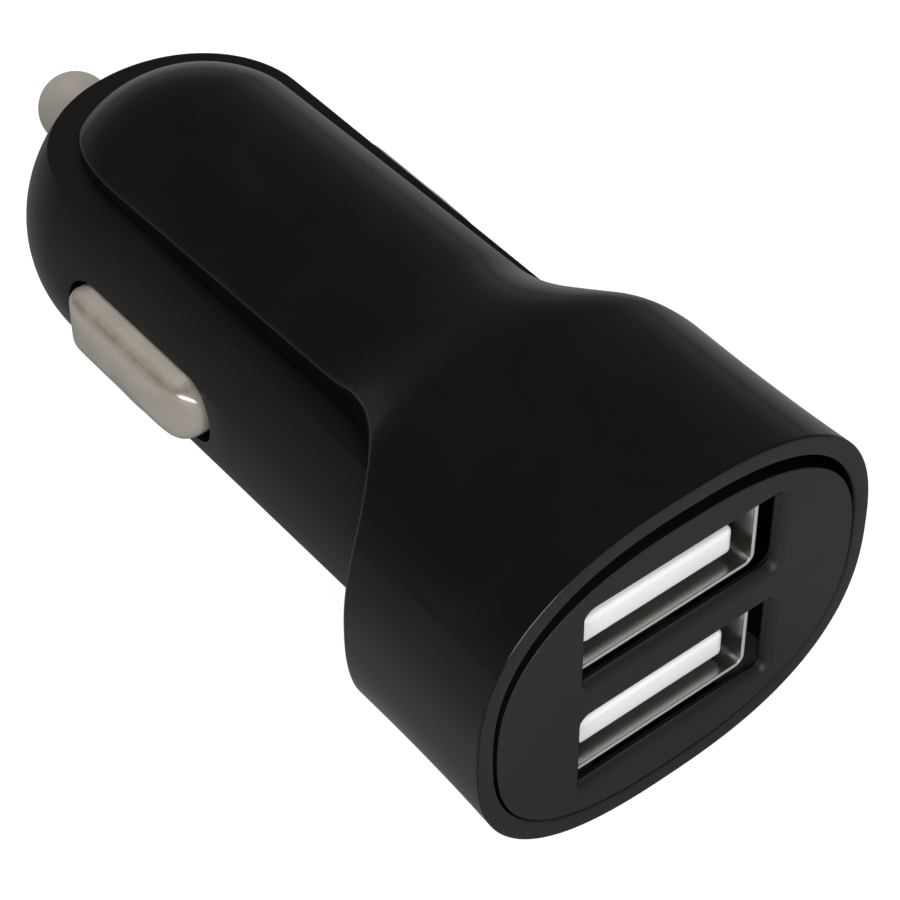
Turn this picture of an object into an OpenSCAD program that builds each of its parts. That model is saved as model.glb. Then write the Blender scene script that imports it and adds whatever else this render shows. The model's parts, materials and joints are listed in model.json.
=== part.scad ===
// Twin socket car charger plug for a 12 V lighter socket.
// The plug axis is Y: the face with the two sockets lies at y = 0 and looks along -Y,
// the spring tip points along +Y. Z is up and X is to the right. Millimetres.

/* [Cover] */
// Width of the oval sleeve at the face
sleeve_w = 28.6; // [28.2:0.1:30.6]
// Height of the oval sleeve at the face
sleeve_h = 23.8; // [23.6:0.1:25.6]
// Squareness of the oval, where 2 is an ellipse
oval_power = 2.5; // [2.4:0.05:2.8]
// How much each half axis of the oval shrinks from the face to the flare
sleeve_draft = 0.2; // [0:0.05:0.3]
// Width of the rim at the two sides
rim_side = 1.2; // [1:0.05:1.4]
// Width of the rim at the top and the bottom
rim_top = 1.4; // [1.1:0.05:1.6]
// Depth of the oval pocket behind the face
pocket_depth = 9; // [8.6:0.1:9.6]
// Length of the sleeve to its rear edge at the sides
sleeve_len = 14.95; // [14.85:0.05:15.3]
// Length of the flare from oval to round at the sides
flare_side_len = 5.7; // [5:0.1:6]
// Length of the flare from oval to round at the top
flare_top_len = 10.5; // [9.5:0.1:11]
// Radius of the crown at its root
crown_r = 10.65; // [10.63:0.01:10.9]
// Taper of the crown along its length, as radius lost per millimetre
crown_taper = 0.024; // [0.018:0.001:0.026]
// How far before the nose's rounding the crown begins to round down
crown_round_lead = 1.29; // [0.5:0.01:2]
// Radius of that rounding
crown_nose_r = 9; // [8.6:0.1:9.4]
// Wall of the crown above its hollow
crown_wall = 1.3; // [1:0.1:1.6]
// Width of each tongue
tongue_w = 14; // [13:0.1:14.4]
// Distance from the tip of the tongue back to the end of the nose
tongue_back = 3.1; // [2.5:0.1:4]
// Length of the rounded end of the tongue
tongue_round_len = 8.35; // [7.5:0.05:8.6]
// Squareness of the rounded end, where 2 is an ellipse
tongue_power = 2.3; // [2:0.05:2.6]
// Radius between the tongue and the rear edge of the sleeve
tongue_fillet_r = 4.05; // [3.6:0.05:4.1]
// Wall of the tongue sides
tongue_wall = 1.2; // [1:0.1:1.5]

/* [Barrel] */
// Radius of the barrel where it leaves the cover
barrel_r = 10.5; // [10.4:0.02:10.56]
// Radius of the barrel where the nose begins
barrel_rear_r = 10.4; // [10.2:0.02:10.4]
// Wall of the barrel
barrel_wall = 1.2; // [1:0.05:1.3]
// Height of the flats above and below the axis
flat_z = 5.9; // [5.8:0.05:6.2]
// Radius of the nose rounding
nose_round_r = 9; // [8.9:0.05:9.2]
// Thickness of the collar in the pocket of the cover
collar_len = 3; // [2.4:0.1:3.4]
// Radius of the bore round the two sockets
socket_bore_r = 10; // [9.95:0.01:10.1]
// Wall round that bore
neck_wall = 1; // [0.8:0.05:1.1]
// Clearance between the cover and the barrel
cover_gap = 0.05; // [0.03:0.01:0.08]

/* [Side slots and contacts] */
// Distance from the middle of the side slots to the end of the nose
slot_back = 18.25; // [18:0.05:19]
// Length of the side slots
slot_len = 14.6; // [13.6:0.1:15]
// Height of the side slots
slot_h = 4.8; // [4.4:0.1:5]
// Gap at each end of a side contact
contact_end_gap = 0.35; // [0.3:0.05:0.6]
// Clearance along the sides of a side contact
contact_side_gap = 0.07; // [0.05:0.01:0.1]
// Distance of the contact crest from the axis
contact_reach = 12.15; // [11.9:0.05:12.4]
// Radius across the crest of a side contact
contact_crest_r = 3.4; // [3:0.1:4]
// Radius at the two ends of a side contact
contact_end_r = 2.2; // [1.8:0.1:2.6]
// Thickness of the contact sheet
contact_sheet = 0.4; // [0.3:0.05:0.5]
// Height of the contact flange behind the wall
contact_flange_h = 6.8; // [6.2:0.1:7]
// How far the flange reaches past each end of the button
contact_flange_lap = 1.85; // [1.4:0.05:2]
// Travel of the side contacts
contact_travel = 1.4; // [1.1:0.05:1.5]
// Thickness of the leaf springs behind them
leaf_t = 0.2; // [0.15:0.01:0.25]

/* [Tip] */
// Radius of the tip contact
tip_r = 2.45; // [2.2:0.05:2.7]
// Overall length from the face to the end of the tip
overall_len = 61; // [60:0.1:62]
// How far the tip stands out of the nose
tip_proud = 6.05; // [5.5:0.05:6.5]
// Radius of the flange that holds the tip in the nose
tip_flange_r = 3.5; // [3.3:0.05:3.6]
// Thickness of that flange
tip_flange_t = 1.1; // [0.8:0.05:1.3]
// Wall of the nose in front of the flange
nose_wall = 1.4; // [1.35:0.05:1.6]
// Radial clearance of the tip in the nose
tip_gap = 0.08; // [0.05:0.01:0.1]
// Travel of the tip
tip_travel = 3; // [2.4:0.1:3.2]
// Radius of the guide pin inside the spring
guide_pin_r = 1.1; // [0.9:0.05:1.3]
// Length of the guide pin
guide_pin_len = 2.9; // [2.2:0.1:3.1]
// Mean radius of the tip spring
spring_r = 2.2; // [2:0.05:2.4]
// Radius of the spring wire
spring_wire_r = 0.25; // [0.2:0.01:0.3]
// Turns of the tip spring
spring_turns = 6; // [4:1:7]
// Length that the pressed spring has to spare
spring_spare = 1.5; // [1:0.1:2]
// Thickness of the spring seat
seat_t = 0.8; // [0.6:0.05:1]
// Radius of the spring seat
seat_r = 3.2; // [2.9:0.05:3.4]

/* [Face plate] */
// Gap between plate and rim at the sides
plate_side_gap = 0.4; // [0.3:0.05:0.6]
// Gap between plate and rim at the top and the bottom with the plate centred
plate_top_gap = 0.6; // [0.58:0.01:0.7]
// How much lower than the rim the plate sits
plate_sag = 0.55; // [0:0.05:0.56]
// Wall of the plate round the sockets
plate_wall = 1.2; // [1.1:0.05:1.4]
// How far the plate skirt is set in from the plate edge
skirt_inset = 0.6; // [0.5:0.05:0.7]
// Wall of the skirt
skirt_wall = 0.8; // [0.6:0.05:0.9]
// Width of a socket opening in the plate
opening_w = 13.4; // [13.3:0.05:13.6]
// Height of a socket opening in the plate
opening_h = 5.9; // [5.85:0.05:6.1]
// Chamfer round each opening
opening_chamfer = 0.6; // [0.4:0.05:0.8]

/* [Sockets] */
// Distance between the middles of the two sockets
socket_pitch = 8.67; // [8.5:0.05:8.75]
// Inner width of a socket shell
shell_inner_w = 12.5; // [12.4:0.05:12.6]
// Inner height of a socket shell
shell_inner_h = 5.12; // [5:0.02:5.2]
// Sheet thickness of a socket shell
shell_sheet = 0.3; // [0.25:0.01:0.32]
// Corner radius outside the shell
shell_corner_r = 0.7; // [0.6:0.05:0.8]
// Length of a socket shell
shell_len = 11; // [10.8:0.1:11.2]
// Width of the white tongue
insulator_w = 11.1; // [10.9:0.05:11.3]
// Thickness of the white tongue
insulator_t = 1.84; // [1.7:0.02:2]
// Gap under the tongue
insulator_under_gap = 0.64; // [0.55:0.01:0.75]
// How far the tongue stands back from the front of its shell
insulator_setback = 0.9; // [0.6:0.1:1.5]
// Length of the block that closes the rear of the shell
insulator_block_len = 2.6; // [2:0.1:3]
// Clearance between block and shell
insulator_gap = 0.05; // [0.03:0.01:0.1]
// Width of a contact strip
pin_w = 1; // [0.8:0.05:1.1]
// Thickness of a contact strip
pin_t = 0.25; // [0.2:0.01:0.3]
// How far a contact strip stands above the tongue
pin_proud = 0.05; // [0.03:0.01:0.08]
// Height of the bump near the front of a strip
pin_bump = 0.25; // [0.15:0.01:0.35]

/* [Boards and electronics] */
// Thickness of the boards
board_t = 1.2; // [1:0.1:1.4]
// Top face of the main board
board_top_z = -1; // [-1.1:0.05:-0.9]
// Half width of the main board in front of them
board_wide_half_w = 8.5; // [8.2:0.05:8.7]
// Clearance round the boards
board_gap = 0.05; // [0.04:0.01:0.1]
// Side of a link pin
link_pin_w = 0.6; // [0.5:0.02:0.64]
// Pitch of the link pins
link_pitch = 2.54; // [2.4:0.02:2.6]
// Radius of the inductor
inductor_r = 3.6; // [3.2:0.05:3.8]
// Height of the inductor
inductor_h = 4.8; // [4.2:0.1:5]
// Radius of the capacitor cans
capacitor_r = 2.5; // [2:0.05:2.5]
// Gap between the two capacitor cans
capacitor_gap = 0.05; // [0.05:0.05:0.5]
// Distance from the capacitors to the end of the board
capacitor_back = 3; // [2:0.1:4]

/* [Hidden] */

$fn = 64;
past = 1;
loft_angles = 72;
flare_steps = 14;
nose_steps = 8;

rim_a = sleeve_w / 2 - rim_side;
rim_b = sleeve_h / 2 - rim_top;
flare_side_lap = 1.05;
flare_top_lap = 7;
flare_side_end = sleeve_len + flare_side_lap;
flare_top_end = flare_side_end + flare_top_lap;
nose_y = overall_len - tip_proud;
nose_round_y = nose_y - nose_round_r;
crown_round_y = nose_round_y - crown_round_lead;
tongue_half = tongue_w / 2;
tongue_end_y = nose_y - tongue_back;
tongue_straight_y = tongue_end_y - tongue_round_len;

plate_a = rim_a - plate_side_gap;
plate_b = rim_b - plate_top_gap;
skirt_a = plate_a - skirt_inset;
skirt_b = plate_b - skirt_inset;
collar_y = pocket_depth - collar_len;

shell_y = plate_wall;
shell_end = shell_y + shell_len;
shell_w = shell_inner_w + 2 * shell_sheet;
shell_h = shell_inner_h + 2 * shell_sheet;
upper_z = -plate_sag + socket_pitch / 2;
lower_z = -plate_sag - socket_pitch / 2;
port_board_y = shell_end;
port_board_r = socket_bore_r - 3 * board_gap;
shoulder_y = port_board_y + board_t + board_gap;
flat_start_y = shoulder_y + barrel_wall;
neck_r = socket_bore_r + neck_wall;

nose_flat_r = barrel_rear_r - nose_round_r;
inner_z = flat_z - barrel_wall;
tip_hole_r = tip_r + tip_gap;
flange_front_y = nose_y - nose_wall;
flange_back_y = flange_front_y - board_gap - tip_flange_t;
spring_solid_len = 2 * spring_wire_r * (spring_turns + 1);
seat_front_y = flange_back_y - tip_travel - spring_solid_len - spring_spare;
seat_boss_gap = 0.4;
seat_boss_r = spring_r - spring_wire_r - seat_boss_gap;
seat_boss_len = 0.8;
seat_tab_x = 0.8;
seat_tab_w = 1.2;
seat_tab_t = 0.4;
seat_tab_len = 2;

slot_mid_y = nose_y - slot_back;
contact_len = slot_len - 2 * contact_end_gap;
contact_h = slot_h - 2 * contact_side_gap;
contact_start_y = slot_mid_y - contact_len / 2;
flange_start_y = contact_start_y - contact_flange_lap;
flange_len = contact_len + 2 * contact_flange_lap;
flange_mid_r = barrel_rear_r - barrel_wall;
flange_x = sqrt(flange_mid_r * flange_mid_r - contact_flange_h * contact_flange_h / 4) - 0.1;
spring_room = contact_travel + leaf_t + board_gap;
leaf_h = 3;
leaf_half_len = 6.5;

board_bottom_z = board_top_z - board_t;
board_end_y = seat_front_y - seat_t - board_gap;
board_start_y = shoulder_y + board_gap;
board_half_w = flange_x - contact_sheet - spring_room;
board_contact_gap = 0.6;
board_wide_end_y = flange_start_y - board_contact_gap;
rib_lap = 0.7;
rib_t = 0.8;
rib_start_y = flat_start_y + rib_lap;
rib_end_y = board_wide_end_y - rib_lap;

pin_places = [-3.5, -1, 1, 3.5];
link_len = 5;
link_front = 0.8;

inductor_y = board_start_y + link_len + inductor_r;
drum_flange = 0.9;
drum_gap = 0.3;
hub_r = 1.5;
capacitor_x = board_half_w - capacitor_r;
capacitor_y = board_start_y + link_len;
capacitor_len = (board_end_y - capacitor_back - capacitor_y - capacitor_gap) / 2;

chip_w = 3.9;
chip_len = 4.9;
chip_h = 1.5;
chip_leg_pitch = 1.27;
chip_leg_span = 6;
chip_leg_w = 0.4;
chip_y = capacitor_y + chip_len;
diode_w = 4.3;
diode_len = 2.6;
diode_h = 2.2;
part_gap = 1.2;
diode_y = chip_y + chip_len / 2 + part_gap + diode_len / 2;
fuse_w = 3.2;
fuse_h = 0.6;
small_w = 0.8;
small_len = 1.6;
resistor_h = 0.45;
fuse_y = diode_y + diode_len / 2 + part_gap + small_len / 2;
small_x = 4.6;
small_y = chip_y + chip_len / 2 + small_len / 2;
small_pitch = 3;

black = [0.05, 0.05, 0.055];
satin_black = [0.10, 0.10, 0.105];
plate_grey = [0.16, 0.16, 0.165];
nickel = [0.66, 0.64, 0.60];
steel = [0.72, 0.72, 0.72];
white = [0.93, 0.93, 0.92];
gold = [0.83, 0.68, 0.32];
board_green = [0.10, 0.30, 0.16];
copper = [0.72, 0.42, 0.22];

// Radius of the tapering crown, the round top and bottom of the cover
function taper_radius(y) = crown_r - crown_taper * (y - flare_side_end);

// Radius of the crown at a place along the axis, with its rounded end
function crown_radius(y) =
    y <= crown_round_y
        ? taper_radius(y)
        : taper_radius(crown_round_y) - crown_nose_r
            + sqrt(pow(crown_nose_r, 2) - pow(y - crown_round_y, 2));

// Smooth step from 0 to 1
function smooth(u) = u <= 0 ? 0 : u >= 1 ? 1 : u * u * (3 - 2 * u);

// Distance of an oval from its middle in the direction of an angle
function oval_radius(angle, a, b, power) =
    pow(pow(abs(cos(angle)) / a, power) + pow(abs(sin(angle)) / b, power), -1 / power);

// Points of an oval
function oval_points(a, b, power, count = 96) =
    [for (i = [0 : count - 1])
        let (angle = 360 * i / count)
        oval_radius(angle, a, b, power) * [cos(angle), sin(angle)]];

// Radius of the cover at a place along the axis and an angle from +X
function cover_radius(y, angle) =
    let (
        side = abs(sin(angle)),
        shrink = sleeve_draft * min(1, y / (flare_side_end - flare_side_len)),
        oval = oval_radius(angle, sleeve_w / 2 - shrink, sleeve_h / 2 - shrink, oval_power),
        flare_end = flare_side_end + (flare_top_end - flare_side_end) * side,
        flare_len = flare_side_len + (flare_top_len - flare_side_len) * side,
        round_r = crown_radius(y)
    )
    round_r + (oval - round_r) * smooth((flare_end - y) / flare_len);

// Half width of the tongue's rounded end at a share of its length
function end_half(share) = tongue_half * pow(1 - pow(share, tongue_power), 1 / tongue_power);

// Extrudes an outline drawn in X and Z from y0 to y1
module slab(y0, y1) {
    translate([0, y1, 0])
        rotate([90, 0, 0])
            linear_extrude(y1 - y0)
                children();
}

// Cylinder along Y from y0 to y1
module rod(r, y0, y1) {
    translate([0, y1, 0])
        rotate([90, 0, 0])
            cylinder(r = r, h = y1 - y0);
}

// Revolves an outline about the Y axis, its first coordinate the radius, its second y
module turned() {
    rotate([-90, 0, 0])
        rotate_extrude()
            children();
}

// Box from one corner to the other
module box(low, high) {
    translate(low)
        cube(high - low);
}

// Rectangle with round corners about the origin
module rounded(w, h, r) {
    square([w - 2 * r, h], center = true);
    square([w, h - 2 * r], center = true);
    for (x = [-1, 1], y = [-1, 1])
        translate([x * (w / 2 - r), y * (h / 2 - r)])
            circle(r = r, $fn = 32);
}

// Both sides of a piece, mirrored across the axis
module both_sides() {
    children();
    mirror([1, 0, 0])
        children();
}

// Cover lofted through rings: oval sleeve, flare to the round crown, rounded end
module cover_loft() {
    straight_end = flare_side_end - flare_side_len;
    crown_end = tongue_end_y + past / 2 - crown_round_y;
    stations = concat(
        [0, straight_end / 2],
        [for (i = [0 : flare_steps])
            straight_end + (flare_top_end - straight_end) * i / flare_steps],
        [for (i = [0 : nose_steps])
            crown_round_y + crown_end * sin(90 * i / nose_steps)]
    );
    rings = len(stations);
    points = [for (y = stations, i = [0 : loft_angles - 1])
        let (angle = 360 * i / loft_angles)
        [cover_radius(y, angle) * cos(angle), y, cover_radius(y, angle) * sin(angle)]];
    front = [for (i = [loft_angles - 1 : -1 : 0]) i];
    back = [for (i = [0 : loft_angles - 1]) (rings - 1) * loft_angles + i];
    sides = [for (s = [0 : rings - 2], i = [0 : loft_angles - 1], half = [0, 1])
        let (
            j = (i + 1) % loft_angles,
            a = s * loft_angles + i,
            b = s * loft_angles + j,
            c = a + loft_angles,
            d = b + loft_angles
        )
        half == 0 ? [a, b, c] : [b, d, c]];
    polyhedron(points, concat([front, back], sides));
}

// Outline of the hollow under the crown, a wall inside it
module crown_outline(wall, y0) {
    end_r = taper_radius(crown_round_y);
    polygon([
        [0, y0],
        [taper_radius(y0) - wall, y0],
        [end_r - wall, crown_round_y],
        [0, crown_round_y]
    ]);
    intersection() {
        translate([end_r - crown_nose_r, crown_round_y])
            circle(r = crown_nose_r - wall, $fn = 96);
        translate([end_r - crown_nose_r, crown_round_y])
            square(crown_nose_r);
    }
    translate([0, crown_round_y])
        square([end_r - crown_nose_r, crown_nose_r - wall]);
}

// Tongue seen from above, taken in by a wall
module tongue_plan(wall) {
    steps = 14;
    half = [for (i = [0 : steps])
        let (share = sin(90 * i / steps))
        [end_half(share) - wall * (end_half(share) > wall ? 1 : 0),
            tongue_straight_y + share * (tongue_round_len - wall)]];
    translate([-tongue_half + wall, -past])
        square([tongue_w - 2 * wall, tongue_straight_y + past]);
    polygon(concat(
        [[0, tongue_straight_y - past]],
        [[tongue_half - wall, tongue_straight_y - past]],
        [for (p = half) if (p[0] > wall / 2) p],
        [[0, tongue_end_y - wall]],
        [for (i = [steps : -1 : 0]) if (half[i][0] > wall / 2) [-half[i][0], half[i][1]]],
        [[-tongue_half + wall, tongue_straight_y - past]]
    ));
}

// Whole cover seen from above: sleeve, fillets and tongue
module cover_plan() {
    translate([-sleeve_w, -past])
        square([2 * sleeve_w, sleeve_len + past]);
    tongue_plan(0);
    for (side = [-1, 1])
        difference() {
            translate([side * (tongue_half + tongue_fillet_r / 2), sleeve_len])
                square([tongue_fillet_r, 2 * tongue_fillet_r], center = true);
            translate([side * (tongue_half + tongue_fillet_r), sleeve_len + tongue_fillet_r])
                circle(r = tongue_fillet_r);
        }
}

// Outer outline of the round barrel as it is turned, taken in by a wall
module barrel_outline(y0, wall) {
    polygon([
        [0, y0],
        [barrel_r - wall, y0],
        [barrel_rear_r - wall, nose_round_y],
        [0, nose_round_y]
    ]);
    intersection() {
        translate([nose_flat_r, nose_round_y])
            circle(r = nose_round_r - wall, $fn = 96);
        translate([nose_flat_r, nose_round_y])
            square(nose_round_r);
    }
    translate([0, nose_round_y])
        square([nose_flat_r, nose_round_r - wall]);
}

// Space that the barrel takes up behind the collar, grown by a gap
module barrel_space(gap) {
    rod(neck_r + gap, pocket_depth - past, shoulder_y + gap);
    rod(barrel_r + gap, shoulder_y, flat_start_y + gap);
    intersection() {
        turned()
            barrel_outline(flat_start_y, -gap);
        box([-sleeve_w, 0, -flat_z - gap], [sleeve_w, overall_len, flat_z + gap]);
    }
}

module cover() {
    color(black)
        difference() {
            intersection() {
                cover_loft();
                translate([0, 0, -sleeve_h])
                    linear_extrude(2 * sleeve_h)
                        cover_plan();
            }
            slab(-past, pocket_depth)
                polygon(oval_points(rim_a, rim_b, oval_power));
            barrel_space(cover_gap);
            intersection() {
                turned()
                    crown_outline(crown_wall, flat_start_y + 2 * barrel_wall);
                translate([0, 0, -sleeve_h])
                    linear_extrude(2 * sleeve_h)
                        tongue_plan(tongue_wall);
            }
        }
}

// Collar of the barrel in the pocket of the cover
module collar() {
    slab(collar_y, pocket_depth)
        polygon(oval_points(rim_a - 2 * cover_gap, rim_b - 2 * cover_gap, oval_power));
}

// Round ended outline of a side slot or a contact, drawn in Y and Z, extruded along X
module contact_prism(long, high, x0, x1) {
    translate([x0, slot_mid_y, 0])
        rotate([90, 0, 90])
            linear_extrude(x1 - x0) {
                square([long - high, high], center = true);
                for (end = [-1, 1])
                    translate([end * (long - high) / 2, 0])
                        circle(r = high / 2);
            }
}

// Two ribs on each side wall that carry an edge of the main board
module board_ribs() {
    both_sides()
        intersection() {
            for (z = [board_top_z + board_gap, board_bottom_z - board_gap - rib_t])
                box([board_wide_half_w - rib_lap, rib_start_y, z],
                    [barrel_r, rib_end_y, z + rib_t]);
            rod(barrel_rear_r - barrel_wall / 2, rib_start_y, rib_end_y);
        }
}

module barrel_body() {
    color(satin_black)
        union() {
            difference() {
                union() {
                    collar();
                    barrel_space(0);
                }
                rod(socket_bore_r, collar_y - past, shoulder_y);
                intersection() {
                    turned()
                        barrel_outline(shoulder_y - 0.01, barrel_wall);
                    box([-sleeve_w, 0, -inner_z], [sleeve_w, overall_len, inner_z]);
                }
                rod(tip_hole_r, nose_round_y, nose_y + past);
                rod(tip_flange_r + 0.2, flange_back_y, flange_front_y);
                both_sides()
                    contact_prism(slot_len, slot_h, barrel_rear_r / 2, sleeve_w);
            }
            board_ribs();
        }
}

// Frustum that cuts a socket opening with its chamfer
module opening_cut() {
    w0 = opening_w / 2 + opening_chamfer;
    h0 = opening_h / 2 + opening_chamfer;
    w1 = opening_w / 2;
    h1 = opening_h / 2;
    polyhedron(
        [
            [-w0, 0, -h0], [w0, 0, -h0], [w0, 0, h0], [-w0, 0, h0],
            [-w1, opening_chamfer, -h1], [w1, opening_chamfer, -h1],
            [w1, opening_chamfer, h1], [-w1, opening_chamfer, h1]
        ],
        [
            [3, 2, 1, 0], [4, 5, 6, 7], [1, 5, 4, 0],
            [2, 6, 5, 1], [3, 7, 6, 2], [0, 4, 7, 3]
        ]
    );
    box([-w1, -past, -h1], [w1, plate_wall + past, h1]);
}

module face_plate() {
    color(plate_grey)
        difference() {
            translate([0, 0, -plate_sag])
                union() {
                    slab(0, plate_wall)
                        polygon(oval_points(plate_a, plate_b, oval_power));
                    slab(plate_wall, collar_y)
                        difference() {
                            polygon(oval_points(skirt_a, skirt_b, oval_power));
                            polygon(oval_points(skirt_a - skirt_wall, skirt_b - skirt_wall,
                                oval_power));
                        }
                }
            for (z = [upper_z, lower_z])
                translate([0, 0, z])
                    opening_cut();
        }
}

module tip_contact() {
    round_y = overall_len - tip_r;
    color(nickel)
        turned()
            union() {
                translate([0, flange_back_y])
                    square([tip_r, round_y - flange_back_y]);
                translate([0, flange_back_y])
                    square([tip_flange_r, tip_flange_t]);
                translate([0, flange_back_y - guide_pin_len])
                    square([guide_pin_r, guide_pin_len]);
                intersection() {
                    translate([0, round_y])
                        circle(r = tip_r);
                    translate([0, round_y])
                        square(tip_r);
                }
            }
}

// Coil between the seat and the flange of the tip, swept along a helix
module tip_spring() {
    sides = 6;
    steps = 14 * spring_turns;
    free_len = flange_back_y - seat_front_y - 2 * spring_wire_r;
    rings = [for (i = [0 : steps], k = [0 : sides - 1])
        let (
            turn = 360 * spring_turns * i / steps,
            around = 360 * k / sides,
            r = spring_r + spring_wire_r * cos(around),
            y = seat_front_y + spring_wire_r + free_len * i / steps
                + spring_wire_r * sin(around)
        )
        [r * cos(turn), y, r * sin(turn)]];
    tube = [for (i = [0 : steps - 1], k = [0 : sides - 1])
        let (j = (k + 1) % sides)
        [i * sides + k, i * sides + j, (i + 1) * sides + j, (i + 1) * sides + k]];
    start = [for (k = [sides - 1 : -1 : 0]) k];
    end = [for (k = [0 : sides - 1]) steps * sides + k];
    color(steel)
        polyhedron(rings, concat([start, end], tube));
}

module spring_seat() {
    color(nickel)
        union() {
            rod(seat_r, seat_front_y - seat_t, seat_front_y);
            rod(seat_boss_r, seat_front_y - seat_t, seat_front_y + seat_boss_len);
            both_sides()
                box([seat_tab_x, board_end_y - seat_tab_len, board_top_z],
                    [seat_tab_x + seat_tab_w, seat_front_y - seat_t / 2,
                        board_top_z + seat_tab_t]);
        }
}

// Rounded button of a side contact, taken in by a wall, on the +X side
module button(wall) {
    long = contact_len - 2 * wall;
    high = contact_h - 2 * wall;
    reach = contact_reach - wall;
    end_r = contact_end_r;
    intersection() {
        contact_prism(long, high, flange_x - contact_sheet - (wall > 0 ? past : 0), reach + past);
        rod_x = reach - contact_crest_r;
        translate([rod_x, 0, 0])
            union() {
                rod(contact_crest_r, 0, overall_len);
                box([-reach, 0, -contact_crest_r], [0, overall_len, contact_crest_r]);
            }
        translate([0, slot_mid_y, -contact_h])
            linear_extrude(2 * contact_h)
                union() {
                    translate([0, -long / 2 + end_r])
                        square([reach, long - 2 * end_r]);
                    translate([0, -long / 2])
                        square([reach - end_r, long]);
                    for (end = [-1, 1])
                        translate([reach - end_r, end * (long / 2 - end_r)])
                            circle(r = end_r);
                }
    }
}

// Stamped side contact with its flange behind the barrel wall, on the +X side
module side_contact() {
    color(nickel)
        difference() {
            union() {
                button(0);
                box([flange_x - contact_sheet, flange_start_y, -contact_flange_h / 2],
                    [flange_x, flange_start_y + flange_len, contact_flange_h / 2]);
            }
            button(contact_sheet);
        }
}

// Bowed leaf between the board edge and the contact flange, on the +X side
module side_spring() {
    bow = spring_room - leaf_t;
    leaf_r = (leaf_half_len * leaf_half_len + bow * bow) / (2 * bow);
    centre_x = board_half_w + leaf_r;
    z0 = board_bottom_z - 0.1;
    color(steel)
        intersection() {
            translate([centre_x, slot_mid_y, z0])
                difference() {
                    cylinder(r = leaf_r, h = leaf_h, $fn = 128);
                    translate([0, 0, -past])
                        cylinder(r = leaf_r - leaf_t, h = leaf_h + 2 * past, $fn = 128);
                }
            box([board_half_w - past, slot_mid_y - leaf_half_len, z0 - past],
                [flange_x - contact_sheet, slot_mid_y + leaf_half_len, z0 + leaf_h + past]);
        }
}

module main_board() {
    color(board_green)
        union() {
            box([-board_half_w, board_start_y, board_bottom_z],
                [board_half_w, board_end_y, board_top_z]);
            box([-board_wide_half_w, board_start_y, board_bottom_z],
                [board_wide_half_w, board_wide_end_y, board_top_z]);
        }
}

// Places of the solder legs of a socket shell
module leg_slots(z, grow) {
    leg_half = 1.2;
    for (side = [-1, 1])
        box([side * (shell_w - shell_sheet) / 2 - shell_sheet / 2 - grow,
                port_board_y - (grow > 0 ? past : 0), z - leg_half - grow],
            [side * (shell_w - shell_sheet) / 2 + shell_sheet / 2 + grow,
                port_board_y + board_t + (grow > 0 ? past : -board_gap), z + leg_half + grow]);
}

module port_board() {
    hole_gap = 0.15;
    color(board_green)
        difference() {
            rod(port_board_r, port_board_y, port_board_y + board_t);
            for (z = [upper_z, lower_z]) {
                leg_slots(z, 0.1);
                for (x = pin_places)
                    box([x - pin_w / 2 - hole_gap, port_board_y - past,
                            z + pin_top() - pin_t - hole_gap],
                        [x + pin_w / 2 + hole_gap, port_board_y + board_t + past,
                            z + pin_top() + hole_gap]);
            }
            for (i = [0 : 3])
                box([link_x(i) - link_pin_w / 2 - hole_gap, port_board_y - past,
                        board_top_z - hole_gap],
                    [link_x(i) + link_pin_w / 2 + hole_gap, port_board_y + board_t + past,
                        board_top_z + link_pin_w + hole_gap]);
        }
}

// Top of the contact strips above the middle of a socket
function pin_top() = -shell_inner_h / 2 + insulator_under_gap + insulator_t + pin_proud;

// Place of a link pin across the board
function link_x(i) = (i - 1.5) * link_pitch;

// Folded steel shell of a socket with its latch windows and solder legs
module usb_shell(z) {
    window_w = 2;
    window_len = 4.2;
    finger_w = 1.3;
    finger_len = 3.6;
    window_y = shell_y + 3;
    color(steel)
        union() {
            difference() {
                slab(shell_y, shell_end)
                    translate([0, z])
                        difference() {
                            rounded(shell_w, shell_h, shell_corner_r);
                            rounded(shell_inner_w, shell_inner_h, shell_corner_r - shell_sheet);
                        }
                for (x = [-3, 3], side = [-1, 1])
                    translate([x, window_y, z + side * (shell_h - shell_sheet) / 2])
                        difference() {
                            box([-window_w / 2, 0, -shell_sheet],
                                [window_w / 2, window_len, shell_sheet]);
                            box([-finger_w / 2, window_len - finger_len, -past],
                                [finger_w / 2, window_len + past, past]);
                        }
            }
            leg_slots(z, 0);
        }
}

// White tongue and rear block of a socket, with a groove for each strip
module usb_insulator(z) {
    front = shell_y + insulator_setback;
    block = shell_end - insulator_block_len;
    low = -shell_inner_h / 2 + insulator_under_gap;
    high = low + insulator_t;
    chamfer = 0.5;
    groove = 0.05;
    color(white)
        translate([0, 0, z])
            difference() {
                union() {
                    translate([0, 0, low])
                        linear_extrude(insulator_t)
                            polygon([
                                [-insulator_w / 2 + chamfer, front],
                                [insulator_w / 2 - chamfer, front],
                                [insulator_w / 2, front + chamfer],
                                [insulator_w / 2, shell_end],
                                [-insulator_w / 2, shell_end],
                                [-insulator_w / 2, front + chamfer]
                            ]);
                    slab(block, shell_end)
                        rounded(shell_inner_w - 2 * insulator_gap,
                            shell_inner_h - 2 * insulator_gap,
                            shell_corner_r - shell_sheet);
                }
                for (x = pin_places)
                    box([x - pin_w / 2 - groove, front + 2 * chamfer - groove,
                            pin_top() - pin_t],
                        [x + pin_w / 2 + groove, shell_end + past,
                            pin_top() + pin_bump]);
                translate([0, front, high])
                    rotate([45, 0, 0])
                        cube([insulator_w + past, chamfer, chamfer], center = true);
            }
}

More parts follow.
